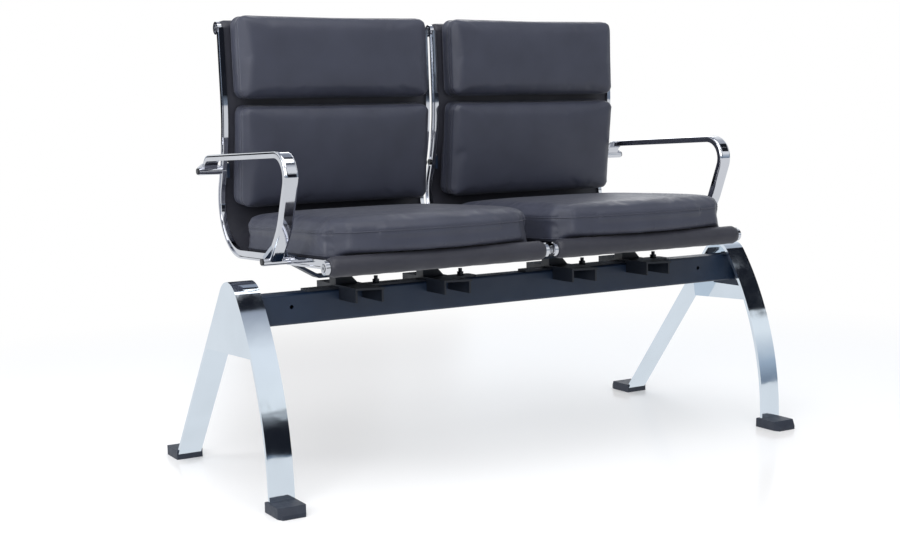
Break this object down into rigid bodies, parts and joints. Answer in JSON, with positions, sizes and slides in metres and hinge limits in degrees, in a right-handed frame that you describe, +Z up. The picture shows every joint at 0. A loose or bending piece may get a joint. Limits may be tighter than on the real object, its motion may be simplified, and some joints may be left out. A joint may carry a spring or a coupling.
{
  "type": "two-seat beam bench",
  "caption": "Two-seat beam bench with chrome side rails, padded leather seats on slings, end armrests and arched chrome legs.",
  "frame": {"origin": "centre of the bounding box at floor level, midway between the four shoes", "axes": "+X along the beam to the sitter's left, +Y towards the back, +Z up"},
  "size_m": [1.244, 0.61, 0.9118],
  "materials": {
    "leather": "satin",
    "leg_chrome": "polished",
    "rail_chrome": "polished",
    "shoe_plastic": "matte",
    "fastener_steel": "satin",
    "beam_paint": "satin"
  },
  "bodies": {
    "root": {"arm_bolts_left": "fastener_steel", "arm_bolts_right": "fastener_steel", "armrest_left": "rail_chrome", "armrest_right": "rail_chrome", "back_stretcher_left": "beam_paint", "back_stretcher_right": "beam_paint", "beam": "beam_paint", "beam_end_plate_left": "beam_paint", "beam_end_plate_right": "beam_paint", "beam_saddle_left_1": "beam_paint", "beam_saddle_left_2": "beam_paint", "beam_saddle_right_1": "beam_paint", "beam_saddle_right_2": "beam_paint", "front_rod_left": "fastener_steel", "front_rod_right": "fastener_steel", "head_pad_left": "leather", "head_pad_right": "leather", "leg_fixings_left": "fastener_steel", "leg_fixings_right": "fastener_steel", "leg_strap_left": "leg_chrome", "leg_strap_right": "leg_chrome", "leg_web_left": "leg_chrome", "leg_web_right": "leg_chrome", "lumbar_pad_left": "leather", "lumbar_pad_right": "leather", "mount_bolts_left": "beam_paint", "mount_bolts_right": "beam_paint", "mount_plate_left": "beam_paint", "mount_plate_right": "beam_paint", "rod_screws_left": "fastener_steel", "rod_screws_right": "fastener_steel", "seat_pad_left": "leather", "seat_pad_right": "leather", "seat_stretcher_left": "beam_paint", "seat_stretcher_right": "beam_paint", "shoe_front_left": "shoe_plastic", "shoe_front_right": "shoe_plastic", "shoe_rear_left": "shoe_plastic", "shoe_rear_right": "shoe_plastic", "side_rail_left_inner": "rail_chrome", "side_rail_left_outer": "rail_chrome", "side_rail_right_inner": "rail_chrome", "side_rail_right_outer": "rail_chrome", "sling_left": "leather", "sling_right": "leather", "spacer_blocks_left": "beam_paint", "spacer_blocks_right": "beam_paint", "top_rod_left": "fastener_steel", "top_rod_right": "fastener_steel"}
  },
  "joints": []
}
